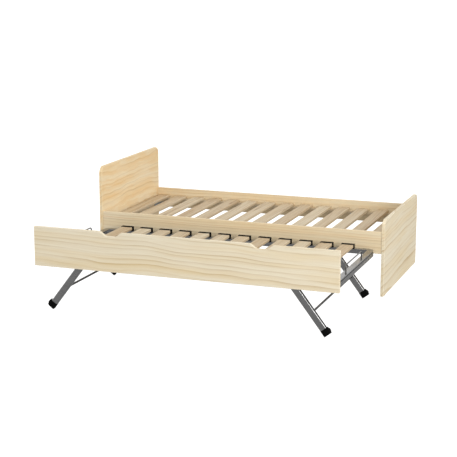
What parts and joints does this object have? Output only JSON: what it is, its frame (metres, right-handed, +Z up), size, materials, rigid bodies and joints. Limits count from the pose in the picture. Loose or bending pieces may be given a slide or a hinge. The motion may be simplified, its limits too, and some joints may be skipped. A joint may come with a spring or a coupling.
{
  "type": "trundle bed",
  "caption": "Single pine bed with slatted base and a pull-out trundle bed whose steel frame stands on folding legs with floor rollers.",
  "frame": {"origin": "on the floor at the centre of the whole footprint, trundle pulled out and raised", "axes": "+X along the bed from headboard to footboard, +Y from the trundle towards the back of the main bed, +Z up"},
  "size_m": [1.94, 1.92, 0.715],
  "materials": {
    "pine_boards": "clear lacquered pine boards",
    "pine_slats": "planed pine, unfinished",
    "grey_steel": "grey powder coat",
    "zinc_fittings": "bright zinc plated",
    "black_plastic": "moulded black plastic"
  },
  "bodies": {
    "main_bed": {"headboard": "pine_boards", "footboard": "pine_boards", "front_side_rail": "pine_boards", "rear_side_rail": "pine_boards", "front_slat_ledge": "pine_boards", "rear_slat_ledge": "pine_boards", "main_slats": "pine_slats", "slat_screws": "zinc_fittings", "ledge_screws": "zinc_fittings", "rail_brackets": "zinc_fittings", "bracket_screws": "zinc_fittings", "floor_glides": "black_plastic"},
    "trundle_frame": {"trundle_front_panel": "pine_boards", "frame_front_rail": "grey_steel", "frame_rear_rail": "grey_steel", "frame_left_end_rail": "grey_steel", "frame_right_end_rail": "grey_steel", "trundle_slats": "pine_slats", "front_slat_holders": "black_plastic", "rear_slat_holders": "black_plastic", "left_mattress_stop": "grey_steel", "right_mattress_stop": "grey_steel", "panel_screws": "zinc_fittings", "leg_bracket_plates": "grey_steel", "leg_stop_pins": "grey_steel", "pivot_bolts": "zinc_fittings", "pivot_nuts": "zinc_fittings", "pivot_washers": "black_plastic"},
    "left_legs": {"left_front_leg": "grey_steel", "left_rear_leg": "grey_steel", "left_cross_rod": "grey_steel", "left_foot_mouldings": "black_plastic", "left_roller_axles": "zinc_fittings"},
    "right_legs": {"right_front_leg": "grey_steel", "right_rear_leg": "grey_steel", "right_cross_rod": "grey_steel", "right_foot_mouldings": "black_plastic", "right_roller_axles": "zinc_fittings"},
    "left_front_roller": {"left_front_roller": "black_plastic"},
    "left_rear_roller": {"left_rear_roller": "black_plastic"},
    "right_front_roller": {"right_front_roller": "black_plastic"},
    "right_rear_roller": {"right_rear_roller": "black_plastic"}
  },
  "joints": [
    {"name": "trundle_lower", "type": "slide", "parent": "main_bed", "child": "trundle_frame", "axis": [0, 0, 1], "range_m": [-0.256, 0]},
    {"name": "left_legs_fold", "type": "hinge", "parent": "trundle_frame", "child": "left_legs", "pos_m": [-0.646, -0.487, 0.29], "axis": [0, 1, 0], "range_deg": [-127.5, 0]},
    {"name": "right_legs_fold", "type": "hinge", "parent": "trundle_frame", "child": "right_legs", "pos_m": [0.658, -0.487, 0.29], "axis": [0, 1, 0], "range_deg": [0, 127.5]},
    {"name": "left_front_roller_spin", "type": "hinge", "parent": "left_legs", "child": "left_front_roller", "pos_m": [-0.86423, -0.921, 0.04174], "axis": [0.6088, 0, 0.7934], "continuous": true},
    {"name": "left_rear_roller_spin", "type": "hinge", "parent": "left_legs", "child": "left_rear_roller", "pos_m": [-0.86423, -0.053, 0.04174], "axis": [0.6088, 0, 0.7934], "continuous": true},
    {"name": "right_front_roller_spin", "type": "hinge", "parent": "right_legs", "child": "right_front_roller", "pos_m": [0.87623, -0.921, 0.04174], "axis": [-0.6088, 0, 0.7934], "continuous": true},
    {"name": "right_rear_roller_spin", "type": "hinge", "parent": "right_legs", "child": "right_rear_roller", "pos_m": [0.87623, -0.053, 0.04174], "axis": [-0.6088, 0, 0.7934], "continuous": true}
  ],
  "couplings": [
    {"joint": "left_legs_fold", "follows": "trundle_lower", "rad_per_m": 8.692},
    {"joint": "right_legs_fold", "follows": "trundle_lower", "rad_per_m": -8.692}
  ]
}
